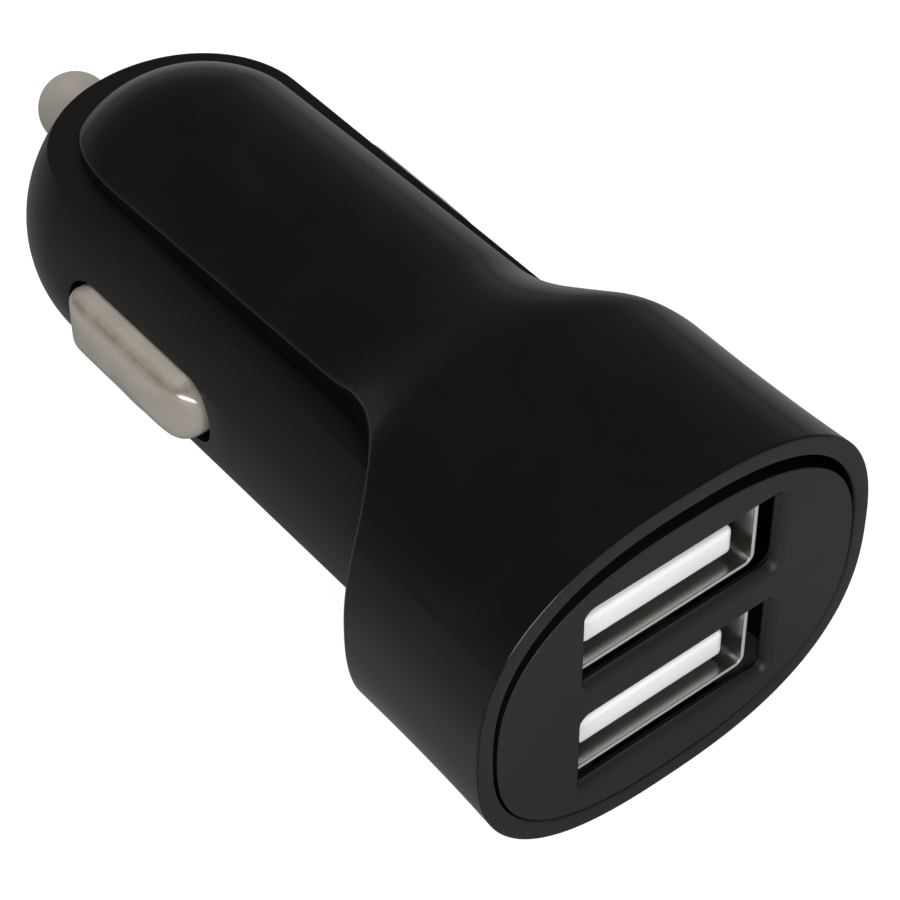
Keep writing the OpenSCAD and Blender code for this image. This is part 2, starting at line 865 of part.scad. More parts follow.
// One contact strip with a bump near its front and a tail through the board
module usb_pin(x, z) {
    front = shell_y + insulator_setback + 1;
    bump_y = front + 2.2;
    bump_r = 1.2;
    color(gold)
        translate([x, 0, z + pin_top()])
            union() {
                box([-pin_w / 2, front, -pin_t],
                    [pin_w / 2, port_board_y + board_t, 0]);
                intersection() {
                    translate([-pin_w / 2, bump_y, pin_bump - bump_r])
                        rotate([0, 90, 0])
                            cylinder(r = bump_r, h = pin_w);
                    box([-pin_w, front, -pin_t / 2], [pin_w, shell_end, pin_bump]);
                }
            }
}

module link_pin(i) {
    color(gold)
        box([link_x(i) - link_pin_w / 2, port_board_y - link_front, board_top_z],
            [link_x(i) + link_pin_w / 2, port_board_y - link_front + link_len,
                board_top_z + link_pin_w]);
}

module inductor_core() {
    color(plate_grey)
        translate([inductor_r - board_half_w, inductor_y, board_top_z])
            union() {
                cylinder(r = inductor_r, h = drum_flange);
                cylinder(r = hub_r, h = inductor_h);
                translate([0, 0, inductor_h - drum_flange])
                    cylinder(r = inductor_r, h = drum_flange);
            }
}

module inductor_winding() {
    color(copper)
        translate([inductor_r - board_half_w, inductor_y, board_top_z + drum_flange])
            difference() {
                cylinder(r = inductor_r - drum_gap, h = inductor_h - 2 * drum_flange);
                translate([0, 0, -past])
                    cylinder(r = hub_r, h = inductor_h);
            }
}

// Capacitor can lying along the board with its rubber foot groove
module capacitor(y) {
    groove = 0.25;
    groove_y = 1.6;
    color(satin_black)
        translate([capacitor_x, y, board_top_z + capacitor_r])
            difference() {
                rod(capacitor_r, 0, capacitor_len);
                difference() {
                    rod(capacitor_r + past, groove_y, groove_y + 2 * groove);
                    rod(capacitor_r - groove, groove_y - past, groove_y + past);
                }
            }
}

// Flat component under the board
module under_board(x, y, w, l, h) {
    translate([x, y, board_bottom_z - h])
        box([-w / 2, -l / 2, 0], [w / 2, l / 2, h]);
}

module converter_chip() {
    color(satin_black)
        union() {
            under_board(0, chip_y, chip_w, chip_len, chip_h);
            for (i = [-1.5 : 1 : 1.5])
                under_board(0, chip_y + i * chip_leg_pitch, chip_leg_span, chip_leg_w,
                    chip_leg_w);
        }
}

module catch_diode() {
    color(satin_black)
        under_board(0, diode_y, diode_w, diode_len, diode_h);
}

module chip_fuse() {
    color(white)
        under_board(0, fuse_y, fuse_w, small_len, fuse_h);
}

module chip_resistor(i) {
    color(satin_black)
        under_board(-small_x, small_y + small_pitch * i, small_w, small_len, resistor_h);
}

module chip_capacitor(i) {
    color(gold)
        under_board(small_x, small_y + small_pitch * i, small_w, small_len, small_w);
}

cover();
barrel_body();
face_plate();
tip_contact();
tip_spring();
spring_seat();
side_contact();  // side_contact_right
mirror([1, 0, 0]) side_contact();  // side_contact_left
side_spring();  // side_spring_right
mirror([1, 0, 0]) side_spring();  // side_spring_left
main_board();
port_board();
usb_shell(upper_z);  // usb_shell_upper
usb_shell(lower_z);  // usb_shell_lower
usb_insulator(upper_z);  // usb_insulator_upper
usb_insulator(lower_z);  // usb_insulator_lower
for (i = [0 : 3]) {
    usb_pin(pin_places[i], upper_z);
    usb_pin(pin_places[i], lower_z);
    link_pin(i);
}
inductor_core();
inductor_winding();
capacitor(capacitor_y);  // output_capacitor
capacitor(capacitor_y + capacitor_len + capacitor_gap);  // input_capacitor
converter_chip();
catch_diode();
chip_fuse();
for (i = [0 : 1]) {
    chip_resistor(i);
    chip_capacitor(i);
}
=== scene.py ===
import json
import math

import bmesh
import bpy
import numpy as np
from mathutils import Matrix, Vector


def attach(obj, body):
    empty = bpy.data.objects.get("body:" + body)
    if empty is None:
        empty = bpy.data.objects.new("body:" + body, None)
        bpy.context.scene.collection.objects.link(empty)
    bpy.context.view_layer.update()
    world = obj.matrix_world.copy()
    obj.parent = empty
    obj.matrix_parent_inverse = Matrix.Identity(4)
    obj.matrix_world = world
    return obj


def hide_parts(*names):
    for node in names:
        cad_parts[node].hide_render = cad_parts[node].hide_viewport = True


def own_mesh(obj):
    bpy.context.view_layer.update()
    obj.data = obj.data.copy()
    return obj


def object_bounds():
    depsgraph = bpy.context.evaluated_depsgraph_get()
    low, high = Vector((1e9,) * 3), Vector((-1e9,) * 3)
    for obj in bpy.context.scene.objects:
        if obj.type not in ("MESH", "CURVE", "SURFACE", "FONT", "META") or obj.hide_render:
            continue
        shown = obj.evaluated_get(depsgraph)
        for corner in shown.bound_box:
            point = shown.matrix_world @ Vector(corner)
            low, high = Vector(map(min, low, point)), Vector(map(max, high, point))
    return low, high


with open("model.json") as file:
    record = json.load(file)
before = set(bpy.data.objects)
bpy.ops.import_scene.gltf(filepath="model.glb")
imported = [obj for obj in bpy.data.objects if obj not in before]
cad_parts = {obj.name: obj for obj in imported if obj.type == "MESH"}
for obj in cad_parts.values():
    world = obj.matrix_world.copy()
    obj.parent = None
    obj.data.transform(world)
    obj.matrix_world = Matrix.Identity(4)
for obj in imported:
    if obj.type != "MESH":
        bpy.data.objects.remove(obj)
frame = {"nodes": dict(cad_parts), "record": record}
cad_low, cad_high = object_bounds()

MM = 0.001

# Camera of the photograph
CAMERA_AZIMUTH = -38.951
CAMERA_ELEVATION = 45.824
CAMERA_ROLL = -0.085
CAMERA_DISTANCE = 184.35 * MM
CAMERA_TARGET = Vector((0, 20.005, -0.981)) * MM
PHOTO_SIZE = 900
FOCAL_PIXELS = 3151.4
SENSOR_WIDTH = 36

# Surroundings: brightness of the floor to the camera, to what shines, and to all
WORLD_FILL = 0.5
FLOOR_SHOWN = 0.88
FLOOR_MIRRORED = 0.025
FLOOR_GLOW = 0.06
FLOOR_GREY = 0.1
FLOOR_REACH = 1500
FLOOR_GAP = 0.02

# Softened edges of CAD nodes
WELD_REACH = 0.002
BEVEL_SEGMENTS = 3
BEVEL_ANGLE = 30
BARREL_EDGE = 0.12
SHELL_EDGE = 0.06

# Cover, in millimetres
SLEEVE_A = 14.3
SLEEVE_B = 11.9
SLEEVE_DRAFT = 0.29
SLEEVE_DRAFT_LEN = 10
OVAL_POWER = 2.5
RIM_A = 13.1
RIM_B = 10.5
FLARE_SIDE_END = 19.42
FLARE_SIDE_LEN = 6.78
FLARE_TOP_END = 23.58
FLARE_TOP_LEN = 9.06
FLARE_FOOT = 0.51
FLARE_SHOULDER = 0.24
CROWN_R = 10.65
CROWN_TAPER = 0.024
CROWN_TAPER_Y = 16
CROWN_ROUND_Y = 44.66
CROWN_NOSE_R = 9
TONGUE_HALF = 7
TONGUE_STRAIGHT_Y = 43.5
TONGUE_ROUND_LEN = 8.35
TONGUE_POWER = 2.3
ARCH_START_Y = 20.5
ARCH_ACROSS = 7
ARCH_ALONG = 8.45
ARCH_POWER = 1.52
ARCH_SPLIT = 11.2
LEDGE_Z = 5.95
BORE_R = 10.55
SEAT_R = 10.45
SEAT_Z = 5.85
POCKET_DEPTH = 9
RING_Y = 10
BORE_END_Y = 11.5
EDGE_R = 0.16
RIM_OUTER_R = 0.18
RIM_INNER_R = 0.3
RIM_FACE_SHARE = 0.3

# Face plate
PLATE_A = 13
PLATE_SHIFT = 0.05
PLATE_B = 10.02
PLATE_DROP = 0.44
PLATE_SAG = 0.55
PLATE_T = 1.2
PLATE_EDGE_R = 0.06
PLATE_FACE_HALF = 8
SKIRT_A = 12.1
SKIRT_B = 9.3
SKIRT_T = 0.8
SKIRT_END_Y = 6
OPENING_W = 14
OPENING_H = 6.1
OPENING_SHIFT = 0.2
OPENING_RAISE = 0.1
OPENING_ROUND_R = 0.6
OPENING_CORNER_R = 0.5
OPENING_UNDERCUT = 0.45
SOCKET_PITCH = 8.67

# Sockets behind it
SOCKET_END_Y = 12.2
SOCKET_BLOCK_LEN = 2.6
SOCKET_BLOCK_W = 12.4
SOCKET_BLOCK_H = 5.02
WHITE_FRONT_Y = 1.9
WHITE_W = 11.1
WHITE_T = 1.84
WHITE_DROP = 1
WHITE_EDGE_R = 0.3
WHITE_CORNER_R = 0.5

# Side contacts
SLOT_MID_Y = 36.7
BUTTON_MID_Y = 36.82
BUTTON_LEN = 13.45
BUTTON_H = 4.52
BUTTON_REACH = 12.15
CREST_R = 3.4
BUTTON_END_DROP = 2.5
BUTTON_NEAR_LEN = 5.6
BUTTON_FAR_LEN = 3.2
BUTTON_TILT = 0.028
BUTTON_EDGE_R = 0.5
SHEET = 0.4
FLANGE_X = 8.4487
FLANGE_LEN = 17.6
FLANGE_H = 6.8
FOOT_OUT = 0.25
FOOT_UP = 0.3
FOOT_MID_OUT = 0.07
FOOT_MID_UP = 0.08

# Leaf springs behind them
LEAF_X = 6.3987
LEAF_BOW = 1.45
LEAF_T = 0.2
LEAF_LOW = -2.3
LEAF_HIGH = 0.7
LEAF_HALF_LEN = 6.5

# Tip and its spring
TIP_R = 2.45
TIP_END_Y = 61
TIP_FLANGE_R = 3.5
TIP_FLANGE_Y = 52.4
TIP_FLANGE_T = 1.1
TIP_PIN_R = 1.1
TIP_PIN_Y = 49.5
SPRING_SEAT_Y = 44.4
SPRING_R = 2.2
SPRING_WIRE_R = 0.25
SPRING_TURNS = 6


class Term:
    """A value that varies over a surface: arithmetic on it adds Math nodes."""

    def __init__(self, surface, socket):
        self.surface = surface
        self.socket = socket

    def join(self, operation, first, second):
        return self.surface.add("ShaderNodeMath", {"operation": operation}, {0: first, 1: second})

    def __add__(self, other):
        return self.join("ADD", self, other)

    def __rsub__(self, other):
        return self.join("SUBTRACT", other, self)

    def __mul__(self, other):
        return self.join("MULTIPLY", self, other)

    __radd__ = __add__
    __rmul__ = __mul__


class Surface:
    """The nodes of one procedural material, or of the world."""

    def __init__(self, owner):
        self.owner = owner
        owner.use_nodes = True
        self.tree = owner.node_tree
        self.tree.nodes.clear()

    def add(self, kind, settings=None, sockets=None, output=0):
        node = self.tree.nodes.new(kind)
        for name, value in (settings or {}).items():
            if name == "stops":
                set_stops(node.color_ramp, value)
            else:
                setattr(node, name, value)
        for key, value in (sockets or {}).items():
            if isinstance(value, Term):
                self.tree.links.new(value.socket, node.inputs[key])
            else:
                node.inputs[key].default_value = value
        return Term(self, node.outputs[output]) if len(node.outputs) else None

    def place(self):
        return self.add("ShaderNodeTexCoord", output="Object")

    def noise(self, size_mm, detail=2, distortion=0):
        """Noise from 0 to 1 whose features are about size_mm across."""
        sockets = {
            "Vector": self.place(),
            "Scale": 1 / (size_mm * MM),
            "Detail": detail,
            "Distortion": distortion,
        }
        return self.add("ShaderNodeTexNoise", {}, sockets)

    def ramp(self, factor, stops):
        return self.add("ShaderNodeValToRGB", {"stops": stops}, {"Fac": factor})

    def mix(self, factor, first, second):
        settings = {"data_type": "RGBA"}
        sockets = {0: factor, 6: rgba(first), 7: rgba(second)}
        return self.add("ShaderNodeMix", settings, sockets, output=2)

    def bump(self, height, depth_mm, strength=1):
        sockets = {"Height": height, "Distance": depth_mm * MM, "Strength": strength}
        return self.add("ShaderNodeBump", {}, sockets)

    def finish(self, **sockets):
        shader = self.add("ShaderNodeBsdfPrincipled", {}, {
            key.replace("_", " "): rgba(value) if key == "Base_Color" else value
            for key, value in sockets.items()
        })
        self.add("ShaderNodeOutputMaterial", {}, {"Surface": shader})
        return self.owner


def new_surface(name):
    return Surface(bpy.data.materials.new(name))


def set_stops(ramp, stops):
    for position, grey in stops[2:]:
        ramp.elements.new(position)
    for element, (position, grey) in zip(ramp.elements, sorted(stops)):
        element.position = position
        element.color = (grey, grey, grey, 1)


def rgba(colour):
    return colour if isinstance(colour, Term) else (*colour, 1)


def gloss_black():
    """Deep polished black with faint handling smudges."""
    s = new_surface("gloss_black")
    smudge = s.ramp(s.noise(5, detail=4, distortion=0.6), [(0.42, 0), (0.7, 1)])
    haze = s.noise(0.35, detail=3)
    return s.finish(
        Base_Color=s.mix(smudge, (0.0024, 0.0022, 0.0024), (0.0030, 0.0028, 0.0030)),
        Roughness=0.13 + smudge * 0.025 + haze * 0.015,
        Normal=s.bump(s.noise(7, detail=1), 0.006, 0.4),
        Specular_IOR_Level=0.4,
    )


def rim_black():
    """The flat front rim, ground a little duller than the rest of the cover."""
    s = new_surface("rim_black")
    grain = s.noise(0.12, detail=3)
    return s.finish(
        Base_Color=s.mix(grain, (0.007, 0.0068, 0.0068), (0.013, 0.0125, 0.0125)),
        Roughness=0.34 + grain * 0.1,
        Normal=s.bump(grain, 0.004, 0.5),
        Specular_IOR_Level=0.42,
    )


def satin_black():
    """Spark-eroded satin black of the barrel, a touch brown."""
    s = new_surface("satin_black")
    grain = s.noise(0.09, detail=3)
    patch = s.noise(6, detail=2)
    return s.finish(
        Base_Color=s.mix(patch, (0.0030, 0.0026, 0.0024), (0.0046, 0.0040, 0.0036)),
        Roughness=0.28 + patch * 0.06 + grain * 0.05,
        Normal=s.bump(grain, 0.004, 0.5),
        Specular_IOR_Level=0.3,
    )


def plate_satin():
    """Dark grey satin of the face plate."""
    s = new_surface("plate_satin")
    grain = s.noise(0.08, detail=3)
    patch = s.noise(5, detail=3)
    return s.finish(
        Base_Color=s.mix(patch, (0.0085, 0.0085, 0.009), (0.0125, 0.0125, 0.013)),
        Roughness=0.38 + patch * 0.06 + grain * 0.08,
        Normal=s.bump(grain, 0.005, 0.6),
        Specular_IOR_Level=0.42,
    )


def metal(name, dark, light, rough, polish=1.0):
    """A metal; polish is how much of it is bare metal under its film."""
    s = new_surface(name)
    grain = s.noise(0.25, detail=4, distortion=0.4)
    stain = s.noise(3, detail=3)
    return s.finish(
        Base_Color=s.mix(stain, dark, light),
        Roughness=rough + grain * 0.08 + stain * 0.05,
        Metallic=polish,
        Normal=s.bump(grain, 0.003, 0.5),
    )


def contact_nickel():
    """Nickel of the side contacts, with a dull band of painted dark reflection along the upper bend.
    """
    s = new_surface("contact_nickel")
    grain = s.noise(0.3, detail=4, distortion=0.4)
    stain = s.noise(2.2, detail=4)
    height = s.add("ShaderNodeSeparateXYZ", {}, {"Vector": s.place()}, output="Z")
    # Painted dark reflection: a band high on the upper flank, broken up by noise, is darker and
    # rougher than the nickel.
    line = s.ramp(height * (1 / (3 * MM)), [
        (0.5, 0), (0.8, 0.15), (0.6, 0.55), (0.65, 1), (0.72, 0.45)])
    painted_reflection = line * s.ramp(s.noise(1.1, detail=3), [(0.3, 0.35), (0.6, 1)])
    nickel_tone = s.mix(stain, (0.47, 0.43, 0.372), (0.66, 0.608, 0.54))
    return s.finish(
        Base_Color=s.mix(painted_reflection, nickel_tone, (0.32, 0.275, 0.225)),
        Roughness=0.18 + grain * 0.06 + painted_reflection * 0.1,
        Metallic=0.72,
        Normal=s.bump(grain, 0.002, 0.5),
    )


def shell_steel():
    """Bright sheet of the sockets, paler on the cut front edge."""
    s = new_surface("shell_steel")
    grain = s.noise(0.8, detail=3)
    facing = s.add("ShaderNodeNewGeometry", output="Normal")
    forward = 0 - s.add("ShaderNodeSeparateXYZ", {}, {"Vector": facing}, output="Y")
    cut = s.ramp(forward, [(0.7, 0), (0.9, 1)])
    sheet = s.mix(grain, (0.40, 0.39, 0.37), (0.48, 0.47, 0.45))
    return s.finish(
        Base_Color=s.mix(cut, sheet, (0.60, 0.59, 0.565)),
        Roughness=0.24 + cut * 0.25,
        Metallic=1 - cut * 0.5,
        Normal=s.bump(grain, 0.0008, 0.5),
    )


def moulded(name, dark, light, rough):
    """A moulded or baked part that is one colour with a fine grain."""
    s = new_surface(name)
    grain = s.noise(0.15, detail=3)
    patch = s.noise(2.5, detail=2)
    return s.finish(
        Base_Color=s.mix(patch, dark, light),
        Roughness=rough + grain * 0.08,
        Normal=s.bump(grain, 0.004, 0.5),
    )


def paint(obj, *materials):
    obj.data.materials.clear()
    for material in materials:
        obj.data.materials.append(material)


def soften(obj, width_mm):
    """Welds a CAD node's corners, rounds its edges and smooths its normals."""
    weld = obj.modifiers.new("weld", "WELD")
    weld.merge_threshold = WELD_REACH * MM
    bevel = obj.modifiers.new("edges", "BEVEL")
    bevel.width = width_mm * MM
    bevel.segments = BEVEL_SEGMENTS
    bevel.limit_method = "ANGLE"
    bevel.angle_limit = math.radians(BEVEL_ANGLE)
    bevel.harden_normals = True


def shade(obj, angle=40):
    for polygon in obj.data.polygons:
        polygon.use_smooth = True
    obj.data.set_sharp_from_angle(angle=math.radians(angle))


def mesh_object(name, points, faces, angle=40, flats=()):
    """A piece from points in millimetres and faces, with doubles merged.

    flats are the places along Y whose open loops are filled with one flat face.
    """
    mesh = bpy.data.meshes.new(name)
    mesh.from_pydata([tuple(p * MM for p in point) for point in points], [], faces)
    work = bmesh.new()
    work.from_mesh(mesh)
    bmesh.ops.remove_doubles(work, verts=work.verts, dist=0.0005 * MM)
    for y in flats:
        open_edges = [edge for edge in work.edges if edge.is_boundary
                      and all(abs(vert.co.y - y * MM) < 0.001 * MM for vert in edge.verts)]
        bmesh.ops.triangle_fill(work, use_beauty=True, edges=open_edges)
    bmesh.ops.recalc_face_normals(work, faces=work.faces)
    work.to_mesh(mesh)
    work.free()
    obj = bpy.data.objects.new(name, mesh)
    bpy.context.scene.collection.objects.link(obj)
    shade(obj, angle)
    return obj


def side_share(angle):
    """0 at the sides and 1 at top and bottom, with no crease at the sides."""
    soft = 0.12
    full = math.sqrt(1 + soft * soft) - soft
    return (np.sqrt(np.sin(angle) ** 2 + soft * soft) - soft) / full


def oval_radius(angle, a, b, power):
    x = (np.abs(np.cos(angle)) / a) ** power
    z = (np.abs(np.sin(angle)) / b) ** power
    return (x + z) ** (-1 / power)


def crown_radius(y):
    taper = CROWN_R - CROWN_TAPER * (np.minimum(y, CROWN_ROUND_Y) - CROWN_TAPER_Y)
    past = np.clip(y - CROWN_ROUND_Y, 0, CROWN_NOSE_R)
    return taper - CROWN_NOSE_R + np.sqrt(CROWN_NOSE_R**2 - past**2)


def flare_share(u):
    """Rises from 0 to 1: a round foot, a straight slope and a tighter shoulder."""
    slope = 1 / (1 - FLARE_FOOT / 2 - FLARE_SHOULDER / 2)
    foot = slope * u * u / (2 * FLARE_FOOT)
    middle = slope * (u - FLARE_FOOT / 2)
    shoulder = 1 - slope * (1 - u) ** 2 / (2 * FLARE_SHOULDER)
    return np.where(u < FLARE_FOOT, foot, np.where(u < 1 - FLARE_SHOULDER, middle, shoulder))


def cover_radius(y, angle):
    side = side_share(angle)
    shrink = SLEEVE_DRAFT * (1 - (1 - np.minimum(1, y / SLEEVE_DRAFT_LEN)) ** 2)
    oval = oval_radius(angle, SLEEVE_A - shrink, SLEEVE_B - shrink, OVAL_POWER)
    end = FLARE_SIDE_END + (FLARE_TOP_END - FLARE_SIDE_END) * side
    length = FLARE_SIDE_LEN + (FLARE_TOP_LEN - FLARE_SIDE_LEN) * side
    u = np.clip((end - y) / length, 0, 1)
    round_r = crown_radius(y)
    return round_r + (oval - round_r) * flare_share(u)


def cover_point(angle, y):
    r = cover_radius(y, angle)
    return np.stack([r * np.cos(angle), y + 0 * r, r * np.sin(angle)], -1)


def angle_at(x, y):
    """Angle at which the upper side of the cover passes over a plan point."""
    low = np.zeros_like(x)
    high = np.full_like(x, math.radians(90))
    for _ in range(50):
        middle = (low + high) / 2
        wide = cover_radius(y, middle) * np.cos(middle) > x
        low = np.where(wide, middle, low)
        high = np.where(wide, high, middle)
    return (low + high) / 2


def arch_y(x, inset=0):
    """Place along the axis of the rear edge's arch at a distance from the middle."""
    u = np.clip((TONGUE_HALF + ARCH_ACROSS - x) / ARCH_ACROSS, 0, 0.9999)
    w = (1 - u**ARCH_POWER) ** (1 / ARCH_POWER)
    slope = ARCH_ALONG / ARCH_ACROSS * (u / w) ** (ARCH_POWER - 1)
    return ARCH_START_Y - ARCH_ALONG * w - inset * np.sqrt(1 + slope**2)


class CoverEdge:
    """The rear edge of the cover over one quarter, from the side to the tongue's tip."""

    side_steps = 44
    arch_steps = 40
    straight_steps = 40
    round_steps = 56
    ring_count = side_steps + arch_steps + 1

    def __init__(self, inset):
        split = (TONGUE_HALF + ARCH_ACROSS - ARCH_SPLIT) / ARCH_ACROSS
        first = math.asin(split ** (ARCH_POWER / 2))
        turn = np.linspace(first, math.pi / 2, self.arch_steps + 1)
        u = np.sin(turn) ** (2 / ARCH_POWER)
        w = np.abs(np.cos(turn)) ** (2 / ARCH_POWER)
        w[-1] = 0
        normal_x = u ** (ARCH_POWER - 1) / ARCH_ACROSS
        normal_y = w ** (ARCH_POWER - 1) / ARCH_ALONG
        size = np.hypot(normal_x, normal_y)
        arch_x = TONGUE_HALF + ARCH_ACROSS - ARCH_ACROSS * u - inset * normal_x / size
        arch_place = ARCH_START_Y - ARCH_ALONG * w - inset * normal_y / size
        straight_y = np.linspace(ARCH_START_Y, TONGUE_STRAIGHT_Y, self.straight_steps + 1)
        turn = np.radians(np.linspace(0, 90, self.round_steps + 1))
        across = np.abs(np.cos(turn)) ** (2 / TONGUE_POWER)
        along = np.abs(np.sin(turn)) ** (2 / TONGUE_POWER)
        across[-1] = 0
        normal_x = across ** (TONGUE_POWER - 1) / TONGUE_HALF
        normal_y = along ** (TONGUE_POWER - 1) / TONGUE_ROUND_LEN
        size = np.hypot(normal_x, normal_y)
        round_x = TONGUE_HALF * across - inset * normal_x / size
        round_y = TONGUE_STRAIGHT_Y + TONGUE_ROUND_LEN * along - inset * normal_y / size
        x = np.concatenate([
            arch_x, np.full(self.straight_steps, TONGUE_HALF - inset), round_x[1:]])
        y = np.concatenate([arch_place, straight_y[1:], round_y[1:]])
        angle = angle_at(x, y)
        angle[-1] = math.pi / 2
        side = np.linspace(0, angle[0], self.side_steps + 1)[:-1]
        side_y = np.full(self.side_steps, ARCH_START_Y - ARCH_ALONG)
        for _ in range(30):
            side_y = arch_y(cover_radius(side_y, side) * np.cos(side), inset)
        self.angle = np.concatenate([side, angle])
        self.y = np.concatenate([side_y, y])


def cover_seat(edge):
    """Where the wall below the cover's edge meets the barrel."""
    n = CoverEdge.side_steps
    rings = CoverEdge.ring_count
    seat = cover_point(edge.angle, edge.y)
    bore = SEAT_R * np.cos(edge.angle[:n + 1])
    height = np.minimum(SEAT_R * np.sin(edge.angle[:n + 1]), SEAT_Z)
    seat[:n + 1] = np.stack([bore, arch_y(bore), height], -1)
    share = np.linspace(0, 1, CoverEdge.arch_steps + 1)
    x = bore[-1] + (TONGUE_HALF - bore[-1]) * share
    z = np.minimum(SEAT_Z, np.sqrt(SEAT_R**2 - x**2))
    seat[n:rings] = np.stack([x, arch_y(x), z], -1)
    seat[rings:, 2] = SEAT_Z
    return seat


def blend_rows(first, last, steps):
    """Rows from first to last, both included."""
    return [first + (last - first) * i / steps for i in range(steps + 1)]


def arc_share(steps):
    """Sines and cosines of a quarter turn, ends included."""
    turn = np.radians(np.linspace(0, 90, steps + 1))
    return list(zip(np.sin(turn), np.cos(turn)))


def cover_quarter():
    """Rows of points over the cover's quarter, and the rows that only its front has."""
    edge = CoverEdge(0)
    rings = CoverEdge.ring_count
    seat = cover_seat(edge)
    lip = cover_point(edge.angle, edge.y)
    wall = seat - lip
    height = np.linalg.norm(wall, axis=1, keepdims=True)
    down = wall / height
    edge_r = np.minimum(EDGE_R, 0.45 * height)

    ring_angle = np.concatenate([
        edge.angle[:CoverEdge.side_steps],
        np.linspace(edge.angle[CoverEdge.side_steps], math.pi / 2, CoverEdge.arch_steps + 1),
        np.full(CoverEdge.straight_steps + CoverEdge.round_steps, math.pi / 2),
    ])
    straight = np.linspace(0, 1, CoverEdge.straight_steps + 1)[1:]
    ends = np.ones(CoverEdge.round_steps)
    ring_share = np.concatenate([np.zeros(rings), straight, ends])
    ring_y = RING_Y + (TONGUE_STRAIGHT_Y - RING_Y) * ring_share
    under_y = BORE_END_Y + (TONGUE_STRAIGHT_Y - BORE_END_Y) * ring_share
    under_z = LEDGE_Z + (BORE_R - LEDGE_Z) * np.clip(1 - 6 * ring_share, 0, 1)
    under = np.stack([0 * under_y, under_y, under_z], -1)
    under[:rings] = np.stack([
        BORE_R * np.cos(ring_angle[:rings]),
        np.full(rings, BORE_END_Y),
        BORE_R * np.sin(ring_angle[:rings]),
    ], -1)

    rows = blend_rows(under, seat, 6)
    rows += blend_rows(seat, lip + down * edge_r, 3)[1:]
    for sine, cosine in reversed(arc_share(5)[:-1]):
        inset = CoverEdge(EDGE_R * (1 - sine))
        rows.append(cover_point(inset.angle, inset.y) + down * edge_r * (1 - cosine))
    steps = 26
    inner = CoverEdge(EDGE_R)
    for i in range(1, steps + 1):
        share = i / steps
        angle = inner.angle + (ring_angle - inner.angle) * share
        y = inner.y + (ring_y - inner.y) * share
        rows.append(cover_point(angle, y))

    angle = ring_angle[:rings]
    front = [cover_point(angle, np.full(rings, y))
             for y in np.linspace(RING_Y, RIM_OUTER_R, 25)]
    outer = cover_radius(np.zeros(rings), angle)
    inner = oval_radius(angle, RIM_A, RIM_B, OVAL_POWER)

    def ring(radius, y):
        return np.stack([radius * np.cos(angle), np.full(rings, y), radius * np.sin(angle)], -1)

    for sine, cosine in arc_share(5)[1:]:
        front.append(ring(outer - RIM_OUTER_R * (1 - cosine), RIM_OUTER_R * (1 - sine)))
    for sine, cosine in arc_share(6):
        front.append(ring(inner + RIM_INNER_R * (1 - sine), RIM_INNER_R * (1 - cosine)))
    for y in np.linspace(RIM_INNER_R, POCKET_DEPTH, 8)[1:]:
        front.append(ring(inner, y))
    front.append(ring(np.full(rings, BORE_R), POCKET_DEPTH))
    front.append(ring(np.full(rings, BORE_R), BORE_END_Y))
    return np.array(rows), np.array(front)


def grid_faces(rows, columns, start):
    return [
        (start + r * columns + c, start + r * columns + c + 1,
         start + (r + 1) * columns + c + 1, start + (r + 1) * columns + c)
        for r in range(rows - 1) for c in range(columns - 1)
    ]


def make_cover(gloss, rim):
    points = []
    faces = []
    for grid in cover_quarter():
        for x_sign in (1, -1):
            for z_sign in (1, -1):
                mirrored = grid * np.array([x_sign, 1, z_sign])
                faces += grid_faces(*grid.shape[:2], len(points))
                points += mirrored.reshape(-1, 3).tolist()
    obj = mesh_object("cover_shell", points, faces, angle=50)
    paint(obj, gloss, rim)
    for polygon in obj.data.polygons:
        if polygon.center.y < RIM_FACE_SHARE * RIM_OUTER_R * MM:
            polygon.material_index = 1
    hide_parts("cover")
    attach(obj, "housing")


def closed_loops(loops, close_start=False, close_end=False):
    """Quads between loops of points, each loop joined to the next; ends may be capped."""
    count = len(loops[0])
    points = [tuple(p) for loop in loops for p in loop]
    faces = []
    for r in range(len(loops) - 1):
        for c in range(count):
            d = (c + 1) % count
            faces.append((r * count + c, r * count + d, (r + 1) * count + d, (r + 1) * count + c))
    if close_start:
        faces.append(tuple(range(count)))
    if close_end:
        faces.append(tuple((len(loops) - 1) * count + c for c in range(count)))
    return points, faces


def oval_loop(a, b, y, count=240):
    angle = np.linspace(0, 2 * math.pi, count, endpoint=False)
    r = oval_radius(angle, a, b, OVAL_POWER)
    x = r * np.cos(angle) + PLATE_SHIFT
    z = r * np.sin(angle) - PLATE_DROP
    return [(px, y, pz) for px, pz in zip(x, z)]


def rounded_loop(width, height, r, middle_x, middle_z, y, steps=8):
    """A rectangle's outline with rounded corners, across the axis at y."""
    loop = []
    for start, x_sign, z_sign in ((0, 1, 1), (90, -1, 1), (180, -1, -1), (270, 1, -1)):
        for turn in np.radians(np.linspace(start, start + 90, steps + 1)):
            x = x_sign * (width / 2 - r) + r * math.cos(turn)
            z = z_sign * (height / 2 - r) + r * math.sin(turn)
            loop.append((middle_x + x, y, middle_z + z))
    return loop


def opening_loop(middle_z, margin, y):
    """A socket opening's outline, margin mm larger all round."""
    return rounded_loop(
        OPENING_W + 2 * margin, OPENING_H + 2 * margin, OPENING_CORNER_R + margin,
        OPENING_SHIFT, middle_z + OPENING_RAISE, y)


